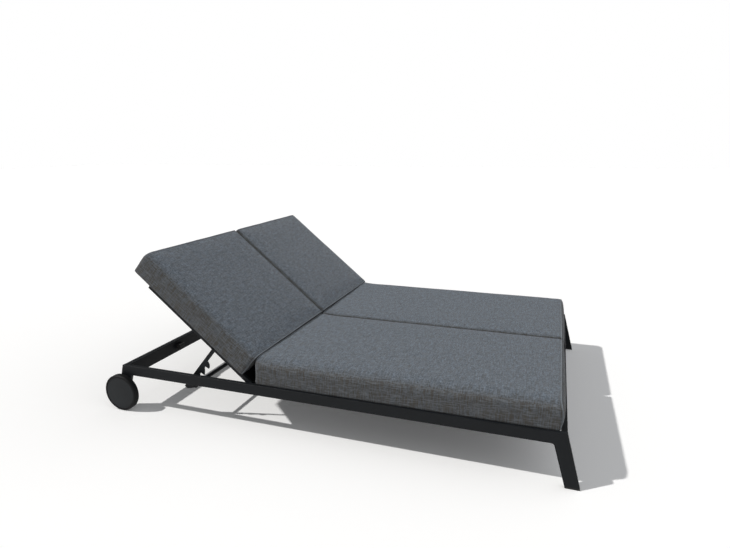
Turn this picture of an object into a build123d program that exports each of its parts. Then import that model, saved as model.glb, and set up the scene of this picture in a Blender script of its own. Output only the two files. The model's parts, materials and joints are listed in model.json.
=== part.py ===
from build123d import *
import math
import os

# Double chaise lounger: a low aluminium frame on two splayed legs and two wheels,
# with two backs that recline on notched props, and four loose cushions.
# X runs across (left is -X), +Y points to the head end and +Z up. The origin is on
# the floor, under the middle of the whole length. All sizes are in millimetres.

# Overall frame
frame_length = 1980.0
frame_width = 1502.0
frame_height = 217.0
rail_height = 46.0
rail_width = 20.0
rail_wall = 1.8
tube_edge_radius = 2.0
head_rail_height = 62.0
head_rail_depth = 30.0
centre_beam_width = 40.0

# Front legs and their glides
leg_splay = 58.0
leg_root_width = 45.0
leg_foot_width = 53.5
leg_inner_radius = 12.0
leg_edge_radius = 2.5
glide_height = 8.0
glide_edge_radius = 3.0

# Rear posts and wheels
post_end_below_axle = 30.0
post_corner_radius = 20.0
wheel_radius = 88.0
wheel_width = 30.0
wheel_gap = 4.0
tyre_thickness = 11.0
tyre_edge_bevel = 5.0
tyre_seat_step = 1.0
hub_rim_thickness = 6.0
hub_web_thickness = 6.0
hub_web_inset = 10.0
hub_boss_radius = 14.0
hub_boss_length = 21.0
hub_rib_thickness = 3.0
hub_rib_count = 6
cap_thickness = 3.0
cap_dome = 1.2
cap_crest_radius = 30.0
cap_edge_radius = 1.2
bush_wall = 3.0
axle_radius = 5.0
axle_head_radius = 9.0
axle_head_thickness = 5.0
axle_nut_radius = 8.5
axle_nut_thickness = 4.5

# Seat deck
seat_slat_count = 11
seat_slat_width = 50.0
seat_slat_thickness = 12.0
slat_wall = 1.5
slat_edge_bevel = 1.5
slat_end_gap = 34.0

# Reclining backs
hinge_to_head = 677.0
back_angle = 39.2
back_tube_height = 19.0
back_tube_width = 15.0
back_length = 638.0
back_side_gap = 2.0
lower_slat_count = 2
upper_slat_count = 4
back_slat_thickness = 5.0
back_slat_width = 42.0
back_first_slat = 60.0
slat_below_pivot = 23.0
slat_above_pivot = 40.0
hinge_shank_radius = 4.0
hinge_head_radius = 7.0
hinge_head_thickness = 4.5
hinge_thread_length = 12.0
hinge_washer_radius = 9.0

# Notched props and the tube that they catch on
catch_radius = 9.0
catch_wall = 2.0
catch_to_head = 388.8
catch_below_top = 52.2
prop_pivot_along_back = 229.0
prop_thickness = 6.0
prop_bar_head_side = 9.0
prop_bar_foot_side = 8.5
prop_eye_radius = 9.0
prop_rod_radius = 6.0
prop_rod_insert = 10.0
prop_side_gap = 1.0
notch_count = 3
notch_pitch = 43.2
notch_floor = 14.8
notch_floor_length = 12.0
notch_play = 4.0
hook_reach = 33.9
hook_tip_length = 3.9
hook_bulge = 28.6
hook_bulge_length = 14.0
first_hook_length = 26.4
first_hook_bulge = 23.7
first_hook_bulge_length = 20.2
tail_heel_length = 29.0
tail_heel_reach = 35.0
tail_flat_length = 42.8
tail_neck_length = 59.8
tail_neck_reach = 23.0
tail_tip_length = 77.0
tail_corner_radius = 4.0

# Brackets that carry the catch tube, and the buffers that a flat back rests on
bracket_thickness = 5.0
bracket_width = 30.0
bracket_top_margin = 22.0
screw_radius = 2.5
screw_head_radius = 5.0
screw_head_thickness = 2.5
screw_length = 8.0
screw_drop = 9.0
screw_pitch = 16.0
buffer_width = 42.0
buffer_depth = 24.0
buffer_height = 24.0
buffer_edge_radius = 2.0

# Cushions
cushion_side_inset = 12.0
cushion_middle_gap = 3.0
cushion_foot_inset = 25.0
seat_cushion_to_head = 705.0
seat_cushion_thickness = 101.0
back_cushion_start = 57.0
back_cushion_length = 677.0
back_cushion_thickness = 109.0
cushion_bottom_radius = 16.0
cushion_top_radius = 34.0
cushion_crown = 7.0
cushion_side_bulge = 3.0
cushion_end_inset = 22.0
cushion_end_length = 32.0
cushion_end_shares = (0, 1 / 3, 2 / 3, 1)

# Clearances and the overrun of cuts
seat_gap = 0.4
bolt_clearance = 0.05
running_clearance = 0.06
face_gap = 0.3
cut_overrun = 5.0

# Places that follow from the sizes above
half_width = frame_width / 2
inner_x = half_width - rail_width
rail_bottom = frame_height - rail_height
beam_half = centre_beam_width / 2
frame_centre_y = (leg_splay - wheel_radius) / 2
foot_y = frame_centre_y - frame_length / 2
head_y = frame_centre_y + frame_length / 2
foot_inner_y = foot_y + rail_width
head_inner_y = head_y - head_rail_depth
axle_y = head_y
hinge_y = head_y - hinge_to_head
hinge_z = frame_height - back_tube_height / 2
catch_y = head_y - catch_to_head
catch_z = frame_height - catch_below_top
back_outer_x = inner_x - back_side_gap
back_inner_x = beam_half + back_side_gap
back_half_height = back_tube_height / 2
lean = math.radians(back_angle)


def on_back(along, above):
    """The (y, z) place of a point of the raised back."""
    y = hinge_y + along * math.cos(lean) - above * math.sin(lean)
    z = hinge_z + along * math.sin(lean) + above * math.cos(lean)
    return y, z


def slab(side, near, far):
    """Lower x and thickness of a slab between two distances from the middle."""
    low = min(side * near, side * far)
    return low, abs(far - near)


def side_plane(x):
    """Plane whose sketch coordinates are (y, z), looking along +X."""
    return Plane.YZ.offset(x)


def back_plane(x):
    """Plane in the raised back: sketch x runs up the back, sketch y out of its face."""
    return Plane(origin=(x, hinge_y, hinge_z), x_dir=(0, math.cos(lean), math.sin(lean)), z_dir=(1, 0, 0))


def cross_plane(x, y, z):
    """Plane square to Y, with the sketch y pointing up."""
    return Plane(origin=(x, y, z), x_dir=(-1, 0, 0), z_dir=(0, 1, 0))


def finish(name, builder):
    """Label a piece and write it as its own node."""
    builder.part.label = name
    export_step(builder.part, "parts/" + name + ".step")


def tube_section(width, height, wall, radius):
    """Closed rectangular tube section in the sketch that is open."""
    RectangleRounded(width, height, radius)
    Rectangle(width - 2 * wall, height - 2 * wall, mode=Mode.SUBTRACT)


def slat_section(width, height):
    """Flat tube with bevelled corners in the sketch that is open."""
    end_x, end_y = width / 2, height / 2
    flat_x, flat_y = end_x - slat_edge_bevel, end_y - slat_edge_bevel
    Polygon((-end_x, -flat_y), (-flat_x, -end_y), (flat_x, -end_y), (end_x, -flat_y),
            (end_x, flat_y), (flat_x, end_y), (-flat_x, end_y), (-end_x, flat_y), align=None)
    Rectangle(width - 2 * slat_wall, height - 2 * slat_wall, mode=Mode.SUBTRACT)


# Side frames: a long rail, mitred into a splayed leg and a short rear post
def make_side_rail(side, name):
    low, _ = slab(side, inner_x, half_width)
    with BuildPart() as rail:
        with BuildSketch(cross_plane(side * (half_width - rail_width / 2), foot_y, frame_height - rail_height / 2)):
            tube_section(rail_width, rail_height, rail_wall, tube_edge_radius)
        extrude(amount=frame_length)
        with BuildSketch(side_plane(low - cut_overrun)):
            with BuildLine():
                Polyline((foot_y, frame_height), (foot_y + leg_root_width, rail_bottom),
                         (foot_y + leg_root_width, rail_bottom - cut_overrun),
                         (foot_y - cut_overrun, rail_bottom - cut_overrun),
                         (foot_y - cut_overrun, frame_height), close=True)
            make_face()
            with BuildLine():
                Polyline((head_y, frame_height), (head_y - leg_root_width, rail_bottom),
                         (head_y - leg_root_width, rail_bottom - cut_overrun),
                         (head_y + cut_overrun, rail_bottom - cut_overrun),
                         (head_y + cut_overrun, frame_height), close=True)
            make_face()
        extrude(amount=rail_width + 2 * cut_overrun, mode=Mode.SUBTRACT)
        bore_low, _ = slab(side, inner_x - cut_overrun, inner_x + hinge_thread_length)
        with BuildSketch(side_plane(bore_low)):
            with Locations((hinge_y, hinge_z)):
                Circle(hinge_shank_radius + bolt_clearance)
            with Locations(*bracket_screw_places()):
                Circle(screw_radius + bolt_clearance)
        extrude(amount=hinge_thread_length + cut_overrun, mode=Mode.SUBTRACT)
    finish("side_rail_" + name, rail)


def leg_front_y(z):
    """The leg's front edge at a height."""
    return foot_y - leg_splay * (frame_height - z) / frame_height


def leg_back_y(z):
    """The leg's rear edge at a height."""
    share = (rail_bottom - z) / rail_bottom
    return foot_y + leg_root_width + (leg_foot_width - leg_splay - leg_root_width) * share


def make_front_leg(side, name):
    low, thickness = slab(side, inner_x, half_width)
    stub_y = foot_y + 2 * leg_root_width
    with BuildPart() as leg:
        with BuildSketch(side_plane(low)) as outline:
            with BuildLine():
                Polyline((foot_y, frame_height), (leg_front_y(glide_height), glide_height),
                         (leg_back_y(glide_height), glide_height), (foot_y + leg_root_width, rail_bottom),
                         (stub_y, rail_bottom), (stub_y, frame_height), close=True)
            make_face()
            corner = outline.vertices().sort_by_distance((foot_y + leg_root_width, rail_bottom, 0))[0]
            fillet(corner, leg_inner_radius)
            with BuildLine():
                Polyline((foot_y, frame_height), (foot_y + leg_root_width, rail_bottom),
                         (stub_y, rail_bottom), (stub_y, frame_height), close=True)
            make_face(mode=Mode.SUBTRACT)
        extrude(amount=thickness)
        long_edges = leg.edges().filter_by(lambda e: e.length > frame_height / 2)
        fillet(long_edges, leg_edge_radius)
    finish("front_leg_" + name, leg)


def make_foot_glide(side, name):
    low, thickness = slab(side, inner_x, half_width)
    with BuildPart() as glide:
        with BuildSketch(side_plane(low)):
            with BuildLine():
                Polyline((leg_front_y(glide_height), glide_height), (leg_front_y(0), 0),
                         (leg_back_y(0), 0), (leg_back_y(glide_height), glide_height), close=True)
            make_face()
        extrude(amount=thickness)
        fillet(glide.faces().sort_by(Axis.Z)[0].edges(), glide_edge_radius)
    finish("foot_glide_" + name, glide)


def make_rear_post(side, name):
    low, thickness = slab(side, inner_x, half_width)
    end_z = wheel_radius - post_end_below_axle
    mirror_y = foot_y + head_y
    with BuildPart() as post:
        with BuildSketch(side_plane(low)) as outline:
            with BuildLine():
                Polyline((head_y, frame_height), (mirror_y - leg_front_y(end_z), end_z),
                         (mirror_y - leg_back_y(end_z), end_z), (head_y - leg_root_width, rail_bottom),
                         close=True)
            make_face()
            fillet(outline.vertices().group_by(Axis.Y)[0], post_corner_radius)
            with Locations((axle_y, wheel_radius)):
                Circle(axle_radius + bolt_clearance, mode=Mode.SUBTRACT)
        extrude(amount=thickness)
        long_edges = post.edges().filter_by(lambda e: e.length > leg_foot_width)
        chamfer(long_edges.filter_by(GeomType.LINE), tube_edge_radius)
    finish("rear_post_" + name, post)


# Cross members and the beam down the middle
def make_foot_rail():
    with BuildPart() as rail:
        section = Plane(origin=(-inner_x, foot_y + rail_width / 2, frame_height - rail_height / 2),
                        x_dir=(0, 1, 0), z_dir=(1, 0, 0))
        with BuildSketch(section):
            tube_section(rail_width, rail_height, rail_wall, tube_edge_radius)
        extrude(amount=2 * inner_x)
    finish("foot_rail", rail)


def make_head_rail():
    with BuildPart() as rail:
        section = Plane(origin=(-inner_x, head_y - head_rail_depth / 2, frame_height - head_rail_height / 2),
                        x_dir=(0, 1, 0), z_dir=(1, 0, 0))
        with BuildSketch(section):
            tube_section(head_rail_depth, head_rail_height, rail_wall, tube_edge_radius)
        extrude(amount=2 * inner_x)
    finish("head_rail", rail)


def make_centre_beam():
    with BuildPart() as beam:
        with BuildSketch(cross_plane(0, foot_inner_y, frame_height - rail_height / 2)):
            tube_section(centre_beam_width, rail_height, rail_wall, tube_edge_radius)
        extrude(amount=head_inner_y - foot_inner_y)
        with BuildSketch(side_plane(-beam_half - cut_overrun)):
            with Locations((hinge_y, hinge_z)):
                Circle(hinge_shank_radius + bolt_clearance)
            with Locations(*bracket_screw_places()):
                Circle(screw_radius + bolt_clearance)
        extrude(amount=centre_beam_width + 2 * cut_overrun, mode=Mode.SUBTRACT)
    finish("centre_beam", beam)


# Seat deck: flat hollow slats between each side rail and the centre beam
def make_seat_slats(side, name):
    low, span = slab(side, beam_half, inner_x)
    first = foot_inner_y + slat_end_gap + seat_slat_width / 2
    last = hinge_y - back_half_height - slat_end_gap - seat_slat_width / 2
    pitch = (last - first) / (seat_slat_count - 1)
    with BuildPart() as slats:
        for index in range(seat_slat_count):
            section = Plane(origin=(low, first + index * pitch, frame_height - seat_slat_thickness / 2),
                            x_dir=(0, 1, 0), z_dir=(1, 0, 0))
            with BuildSketch(section):
                slat_section(seat_slat_width, seat_slat_thickness)
        extrude(amount=span)
    finish("seat_slats_" + name, slats)


# Backs: two side bars, a head bar and slats, hinged on the side rail and on the beam
def back_bar_span(side, outer):
    """Lower x and thickness of a back's side bar, by the rail or by the beam."""
    if outer:
        return slab(side, back_outer_x - back_tube_width, back_outer_x)
    return slab(side, back_inner_x, back_inner_x + back_tube_width)


def make_back_bar(side, name, outer, word):
    low, thickness = back_bar_span(side, outer)
    with BuildPart() as bar:
        with BuildSketch(back_plane(low)) as outline:
            with Locations((back_length / 2, 0)):
                Rectangle(back_length, back_tube_height)
            Circle(back_half_height)
            fillet(outline.vertices().group_by(Axis.X)[-1], tube_edge_radius)
            Circle(hinge_shank_radius + running_clearance, mode=Mode.SUBTRACT)
            with Locations((prop_pivot_along_back, 0)):
                Circle(prop_rod_radius + running_clearance, mode=Mode.SUBTRACT)
        extrude(amount=thickness)
    finish("back_" + word + "_bar_" + name, bar)


def back_opening(side):
    """Lower x and width of the space between a back's two side bars."""
    return slab(side, back_inner_x + back_tube_width, back_outer_x - back_tube_width)


def make_back_head_bar(side, name):
    low, span = back_opening(side)
    with BuildPart() as bar:
        with BuildSketch(back_plane(low)):
            with Locations((back_length - back_tube_width / 2, 0)):
                tube_section(back_tube_width, back_tube_height, rail_wall, tube_edge_radius)
        extrude(amount=span)
    finish("back_head_bar_" + name, bar)


def slat_places(first, last, count):
    """Middles of evenly spaced slats between two distances up the back."""
    start = first + back_slat_width / 2
    pitch = (last - first - back_slat_width) / (count - 1)
    return [start + index * pitch for index in range(count)]


def make_back_slats(side, name):
    low, span = back_opening(side)
    lower = slat_places(back_first_slat, prop_pivot_along_back - slat_below_pivot, lower_slat_count)
    upper = slat_places(prop_pivot_along_back + slat_above_pivot, back_length - back_tube_width, upper_slat_count)
    with BuildPart() as slats:
        with BuildSketch(back_plane(low)):
            for place in lower + upper:
                with Locations((place, back_half_height - back_slat_thickness / 2)):
                    slat_section(back_slat_width, back_slat_thickness)
        extrude(amount=span)
    finish("back_slats_" + name, slats)


def hinge_places(side):
    """Direction towards the frame and x of the frame face, for a back's two hinges."""
    return ((side, side * inner_x), (-side, side * beam_half))


def turned_part(x, y, z, direction, profile):
    """Revolve a half profile of (distance, radius) points about an axis along X."""
    with BuildSketch(Plane(origin=(x, y, z), x_dir=(direction, 0, 0), z_dir=(0, 0, 1))) as half:
        with BuildLine():
            Polyline(*profile, close=True)
        make_face()
    revolve(half.sketch, axis=Axis((x, y, z), (1, 0, 0)))


def make_hinge_bolts(side, name):
    grip = back_side_gap + back_tube_width + face_gap
    with BuildPart() as bolts:
        for direction, face_x in hinge_places(side):
            turned_part(face_x, hinge_y, hinge_z, direction,
                        ((-grip - hinge_head_thickness, 0), (-grip - hinge_head_thickness, hinge_head_radius),
                         (-grip, hinge_head_radius), (-grip, hinge_shank_radius),
                         (hinge_thread_length, hinge_shank_radius), (hinge_thread_length, 0)))
    finish("hinge_bolts_" + name, bolts)


def make_hinge_washers(side, name):
    with BuildPart() as washers:
        for direction, face_x in hinge_places(side):
            low = min(face_x, face_x - direction * (back_side_gap - face_gap))
            with BuildSketch(side_plane(low)):
                with Locations((hinge_y, hinge_z)):
                    Circle(hinge_washer_radius)
                    Circle(hinge_shank_radius + bolt_clearance, mode=Mode.SUBTRACT)
            extrude(amount=back_side_gap - face_gap)
    finish("hinge_washers_" + name, washers)


# Props: two notched plates on one rod, hooked under the catch tube
def pivot_place():
    """The (y, z) place of a prop's pivot on the raised back."""
    return on_back(prop_pivot_along_back, 0)


def prop_plane(x):
    """Plane of a prop plate: sketch x runs down the plate, sketch y to the head end."""
    y, z = pivot_place()
    return Plane(origin=(x, y, z), x_dir=(0, math.sin(lean), -math.cos(lean)), z_dir=(1, 0, 0))


def catch_along_prop():
    """Distance of the catch tube down the prop, square to the raised back."""
    y, z = pivot_place()
    return (catch_y - y) * math.sin(lean) - (catch_z - z) * math.cos(lean)


def prop_outline():
    """Plate outline: a straight bar, one hook above each notch and a broad tail."""
    last_notch = catch_along_prop() - catch_radius - notch_play
    tail_tip = last_notch + tail_tip_length
    Line((0, prop_bar_head_side), (tail_tip, prop_bar_head_side))
    Line((tail_tip, prop_bar_head_side), (tail_tip, -prop_bar_foot_side))
    Line((tail_tip, -prop_bar_foot_side), (last_notch + tail_neck_length, -tail_neck_reach))
    Line((last_notch + tail_neck_length, -tail_neck_reach), (last_notch + tail_flat_length, -tail_heel_reach))
    Line((last_notch + tail_flat_length, -tail_heel_reach), (last_notch + tail_heel_length, -tail_heel_reach))
    Line((last_notch + tail_heel_length, -tail_heel_reach), (last_notch + notch_floor_length, -notch_floor))
    for index in range(notch_count):
        top = last_notch - index * notch_pitch
        Line((top + notch_floor_length, -notch_floor), (top, -notch_floor))
        Line((top, -notch_floor), (top - hook_tip_length, -hook_reach))
        if index < notch_count - 1:
            ThreePointArc((top - hook_tip_length, -hook_reach), (top - hook_bulge_length, -hook_bulge),
                          (top - notch_pitch + notch_floor_length, -notch_floor))
    first = last_notch - (notch_count - 1) * notch_pitch
    ThreePointArc((first - hook_tip_length, -hook_reach), (first - first_hook_bulge_length, -first_hook_bulge),
                  (first - first_hook_length, -prop_bar_foot_side))
    Line((first - first_hook_length, -prop_bar_foot_side), (0, -prop_bar_foot_side))
    Line((0, -prop_bar_foot_side), (0, prop_bar_head_side))


def make_prop_arm(side, name, outer, word):
    bar_low, bar_thickness = back_bar_span(side, outer)
    inward = -side if outer else side
    bar_face = bar_low if inward < 0 else bar_low + bar_thickness
    near = bar_face + inward * prop_side_gap
    low = min(near, near + inward * prop_thickness)
    with BuildPart() as arm:
        with BuildSketch(prop_plane(low)) as outline:
            with BuildLine():
                prop_outline()
            make_face()
            tail_corners = outline.vertices().group_by(Axis.X)[-3:]
            fillet([corner for group in tail_corners for corner in group], tail_corner_radius)
            Circle(prop_eye_radius)
            Circle(prop_rod_radius + bolt_clearance, mode=Mode.SUBTRACT)
        extrude(amount=prop_thickness)
    finish("prop_" + word + "_arm_" + name, arm)


def make_prop_rod(side, name):
    low, span = back_opening(side)
    y, z = pivot_place()
    with BuildPart() as rod:
        with BuildSketch(side_plane(low - prop_rod_insert)):
            with Locations((y, z)):
                Circle(prop_rod_radius)
        extrude(amount=span + 2 * prop_rod_insert)
    finish("prop_rod_" + name, rod)


# Catch tubes with their brackets, and the buffers on the head rail
def make_catch_tube(side, name):
    low, span = slab(side, beam_half + face_gap, inner_x - face_gap)
    with BuildPart() as tube:
        with BuildSketch(side_plane(low)):
            with Locations((catch_y, catch_z)):
                Circle(catch_radius)
                Circle(catch_radius - catch_wall, mode=Mode.SUBTRACT)
        extrude(amount=span)
    finish("catch_tube_" + name, tube)


def bracket_screw_places():
    """The (y, z) places of the two screws of a catch bracket."""
    z = frame_height - bracket_top_margin - screw_drop
    return (catch_y - screw_pitch / 2, z), (catch_y + screw_pitch / 2, z)


def bracket_faces(side):
    """Direction into the frame and x of the frame face, for a tube's two brackets."""
    return ((side, side * inner_x), (-side, side * beam_half))


def make_catch_brackets(side, name):
    top = frame_height - bracket_top_margin
    with BuildPart() as brackets:
        for direction, face_x in bracket_faces(side):
            low = min(face_x, face_x - direction * bracket_thickness)
            with BuildSketch(side_plane(low)) as outline:
                with Locations((catch_y, (top + catch_z) / 2)):
                    Rectangle(bracket_width, top - catch_z)
                fillet(outline.vertices().group_by(Axis.Y)[-1], tube_edge_radius)
                with Locations((catch_y, catch_z)):
                    Circle(bracket_width / 2)
                    Circle(catch_radius + bolt_clearance, mode=Mode.SUBTRACT)
                with Locations(*bracket_screw_places()):
                    Circle(screw_radius + bolt_clearance, mode=Mode.SUBTRACT)
            extrude(amount=bracket_thickness)
    finish("catch_brackets_" + name, brackets)


def make_bracket_screws(side, name):
    with BuildPart() as screws:
        for direction, face_x in bracket_faces(side):
            for y, z in bracket_screw_places():
                turned_part(face_x - direction * bracket_thickness, y, z, direction,
                            ((-screw_head_thickness, 0), (-screw_head_thickness, screw_head_radius / 2),
                             (0, screw_head_radius), (0, screw_radius), (screw_length, screw_radius),
                             (screw_length, 0)))
    finish("bracket_screws_" + name, screws)


def make_rest_buffer(side, name):
    centre_x = side * (back_outer_x + back_inner_x) / 2
    top = frame_height - back_tube_height - face_gap
    with BuildPart() as buffer:
        with BuildSketch(side_plane(centre_x - buffer_width / 2)):
            with Locations((head_inner_y - buffer_depth / 2, top - buffer_height / 2)):
                Rectangle(buffer_depth, buffer_height)
        extrude(amount=buffer_width)
        front = buffer.faces().sort_by(Axis.Y)[0]
        fillet(front.edges(), buffer_edge_radius)
    finish("rest_buffer_" + name, buffer)


# Wheels: tyre, ribbed hub, bush and cap on a bolt through the rear post
def wheel_inner_x():
    """Distance of the wheel's inner face from the middle of the lounger."""
    return half_width + wheel_gap


def hub_radius():
    """Outer radius of the hub, which the tyre sits on."""
    return wheel_radius - tyre_thickness


def cap_seat():
    """Distance of the cap's seat from the wheel's inner face."""
    return wheel_width - cap_thickness - tyre_seat_step


def make_tyre(side, name):
    start = side * wheel_inner_x()
    with BuildPart() as tyre:
        turned_part(start, axle_y, wheel_radius, side,
                    ((0, hub_radius()), (0, wheel_radius), (wheel_width, wheel_radius),
                     (wheel_width, hub_radius())))
        rims = tyre.edges().filter_by(GeomType.CIRCLE).filter_by(lambda e: e.radius > hub_radius() + bush_wall)
        chamfer(rims, tyre_edge_bevel)
    finish("tyre_" + name, tyre)


def make_wheel_hub(side, name):
    start = side * wheel_inner_x()
    rim_inner = hub_radius() - hub_rim_thickness
    web_end = hub_web_inset + hub_web_thickness
    bore = axle_radius + running_clearance + bush_wall
    with BuildPart() as hub:
        turned_part(start, axle_y, wheel_radius, side,
                    ((0, bore), (0, hub_boss_radius), (hub_web_inset, hub_boss_radius),
                     (hub_web_inset, rim_inner), (tyre_seat_step, rim_inner), (tyre_seat_step, hub_radius()),
                     (cap_seat(), hub_radius()), (cap_seat(), rim_inner), (web_end, rim_inner),
                     (web_end, hub_boss_radius), (hub_boss_length, hub_boss_radius), (hub_boss_length, bore)))
        rib_length = rim_inner - hub_boss_radius
        rib_middle = (rim_inner + hub_boss_radius) / 2
        low, depth = slab(side, wheel_inner_x() + 2 * tyre_seat_step, wheel_inner_x() + hub_web_inset)
        with BuildSketch(Plane(origin=(low, axle_y, wheel_radius), x_dir=(0, 1, 0), z_dir=(1, 0, 0))):
            with PolarLocations(rib_middle, hub_rib_count):
                Rectangle(rib_length + hub_rib_thickness, hub_rib_thickness)
        extrude(amount=depth)
    finish("wheel_hub_" + name, hub)


def make_wheel_bush(side, name):
    start = side * wheel_inner_x()
    outer = axle_radius + running_clearance + bush_wall
    with BuildPart() as bush:
        turned_part(start, axle_y, wheel_radius, side,
                    ((0, axle_radius + running_clearance), (0, outer), (hub_boss_length, outer),
                     (hub_boss_length, axle_radius + running_clearance)))
    finish("wheel_bush_" + name, bush)


def make_wheel_cap(side, name):
    start = side * wheel_inner_x()
    radius = hub_radius() - face_gap
    face = cap_seat() + cap_thickness
    with BuildPart() as cap:
        turned_part(start, axle_y, wheel_radius, side,
                    ((cap_seat(), 0), (cap_seat(), radius), (face - cap_edge_radius, radius),
                     (face, radius - cap_edge_radius), (face + cap_dome, cap_crest_radius),
                     (face + cap_dome, 0)))
    finish("wheel_cap_" + name, cap)


def make_axle(side, name):
    start = side * inner_x
    length = rail_width + wheel_gap + hub_boss_length + face_gap + axle_nut_thickness
    with BuildPart() as axle:
        turned_part(start, axle_y, wheel_radius, side,
                    ((-axle_head_thickness, 0), (-axle_head_thickness, axle_head_radius), (0, axle_head_radius),
                     (0, axle_radius), (length, axle_radius), (length, 0)))
    finish("axle_" + name, axle)


def make_axle_nuts():
    with BuildPart() as nuts:
        for side in (-1, 1):
            start = side * (wheel_inner_x() + hub_boss_length + face_gap)
            low = min(start, start + side * axle_nut_thickness)
            with BuildSketch(side_plane(low)):
                with Locations((axle_y, wheel_radius)):
                    RegularPolygon(axle_nut_radius, 6)
                    Circle(axle_radius + bolt_clearance, mode=Mode.SUBTRACT)
            extrude(amount=axle_nut_thickness)
    finish("axle_nuts", nuts)


def make_wheel_spacers():
    with BuildPart() as spacers:
        for side in (-1, 1):
            low, thickness = slab(side, half_width, half_width + wheel_gap - face_gap)
            with BuildSketch(side_plane(low)):
                with Locations((axle_y, wheel_radius)):
                    Circle(axle_head_radius)
                    Circle(axle_radius + bolt_clearance, mode=Mode.SUBTRACT)
            extrude(amount=thickness)
    finish("wheel_spacers", spacers)


# Cushions: flat below, crowned above, with bulging sides drawn in at both ends
def cushion_outline(width, thickness, inset):
    """Draw one cross-section, with its middle bottom at the origin."""
    half = width / 2 - inset
    top = thickness - inset
    low = inset / 2
    foot = half - cushion_bottom_radius
    corner = cushion_bottom_radius * (1 - math.sqrt(1 / 2))
    shoulder = cushion_top_radius * (1 - math.sqrt(1 / 2))
    crest = half - cushion_top_radius
    middle = (low + cushion_bottom_radius + top - cushion_top_radius) / 2
    Line((-foot, low), (foot, low))
    for way in (1, -1):
        ThreePointArc((way * foot, low), (way * (half - corner), low + corner),
                      (way * half, low + cushion_bottom_radius))
        ThreePointArc((way * half, low + cushion_bottom_radius), (way * (half + cushion_side_bulge), middle),
                      (way * half, top - cushion_top_radius))
        ThreePointArc((way * half, top - cushion_top_radius), (way * (half - shoulder), top - shoulder),
                      (way * crest, top))
    ThreePointArc((crest, top), (0, top + cushion_crown), (-crest, top))


def cushion_sections(start_plane, width, length, thickness):
    """Sections of one cushion along the plane's normal, with an oval run-out at each end."""
    steps = []
    for quarter_turn_share in cushion_end_shares:
        turn = math.radians(90 * quarter_turn_share)
        steps.append((cushion_end_length * (1 - math.cos(turn)), cushion_end_inset * (1 - math.sin(turn))))
    stations = steps + [(length - place, inset) for place, inset in reversed(steps)]
    sections = []
    for place, inset in stations:
        with BuildSketch(start_plane.offset(place)) as section:
            with BuildLine():
                cushion_outline(width, thickness, inset)
            make_face()
        sections.append(section.sketch)
    return sections


def cushion_span(side):
    """Middle x and width of a cushion."""
    outer = half_width - cushion_side_inset - cushion_side_bulge
    inner = cushion_middle_gap + cushion_side_bulge
    return side * (outer + inner) / 2, outer - inner


def make_seat_cushion(side, name):
    centre, width = cushion_span(side)
    start = foot_y + cushion_foot_inset
    length = head_y - seat_cushion_to_head - start
    base = cross_plane(centre, start, frame_height + seat_gap)
    with BuildPart() as cushion:
        loft(cushion_sections(base, width, length, seat_cushion_thickness), ruled=True)
    finish("seat_cushion_" + name, cushion)


def make_back_cushion(side, name):
    centre, width = cushion_span(side)
    y, z = on_back(back_cushion_start, back_half_height + seat_gap)
    start = Plane(origin=(centre, y, z), x_dir=(-1, 0, 0), z_dir=(0, math.cos(lean), math.sin(lean)))
    with BuildPart() as cushion:
        loft(cushion_sections(start, width, back_cushion_length, back_cushion_thickness), ruled=True)
    finish("back_cushion_" + name, cushion)


def main():
    """Build every piece and write it to the parts folder."""
    os.makedirs("parts", exist_ok=True)
    make_foot_rail()
    make_head_rail()
    make_centre_beam()
    make_axle_nuts()
    make_wheel_spacers()
    for side, name in ((-1, "left"), (1, "right")):
        make_side_rail(side, name)
        make_front_leg(side, name)
        make_foot_glide(side, name)
        make_rear_post(side, name)
        make_seat_slats(side, name)
        for outer, word in ((True, "outer"), (False, "inner")):
            make_back_bar(side, name, outer, word)
            make_prop_arm(side, name, outer, word)
        make_back_head_bar(side, name)
        make_back_slats(side, name)
        make_hinge_bolts(side, name)
        make_hinge_washers(side, name)
        make_prop_rod(side, name)
        make_catch_tube(side, name)
        make_catch_brackets(side, name)
        make_bracket_screws(side, name)
        make_rest_buffer(side, name)
        make_tyre(side, name)
        make_wheel_hub(side, name)
        make_wheel_bush(side, name)
        make_wheel_cap(side, name)
        make_axle(side, name)
        make_seat_cushion(side, name)
        make_back_cushion(side, name)


main()
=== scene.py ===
"""Looks of the double chaise lounger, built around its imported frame."""

import json
import logging
import math
from dataclasses import dataclass
from enum import Enum
from typing import Callable

import bmesh
import bpy
import numpy as np
from mathutils import Matrix, Vector
from mathutils.bvhtree import BVHTree


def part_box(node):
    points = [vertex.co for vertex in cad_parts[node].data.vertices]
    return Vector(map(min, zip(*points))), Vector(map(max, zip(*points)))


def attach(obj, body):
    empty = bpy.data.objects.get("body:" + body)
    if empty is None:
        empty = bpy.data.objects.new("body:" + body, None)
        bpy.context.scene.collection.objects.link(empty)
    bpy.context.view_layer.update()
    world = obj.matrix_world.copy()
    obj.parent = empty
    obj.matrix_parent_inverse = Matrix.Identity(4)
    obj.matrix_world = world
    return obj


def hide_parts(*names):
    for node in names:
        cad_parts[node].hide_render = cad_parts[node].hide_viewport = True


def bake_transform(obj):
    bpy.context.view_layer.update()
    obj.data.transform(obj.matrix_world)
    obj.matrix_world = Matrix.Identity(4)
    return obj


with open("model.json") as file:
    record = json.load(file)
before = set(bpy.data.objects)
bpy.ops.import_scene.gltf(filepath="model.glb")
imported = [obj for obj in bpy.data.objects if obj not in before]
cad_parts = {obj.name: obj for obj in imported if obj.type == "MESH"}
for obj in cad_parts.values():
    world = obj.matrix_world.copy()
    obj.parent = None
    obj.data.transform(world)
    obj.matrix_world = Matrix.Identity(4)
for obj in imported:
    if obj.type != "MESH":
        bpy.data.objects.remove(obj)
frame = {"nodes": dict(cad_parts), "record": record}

log = logging.getLogger("lounger")

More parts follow.
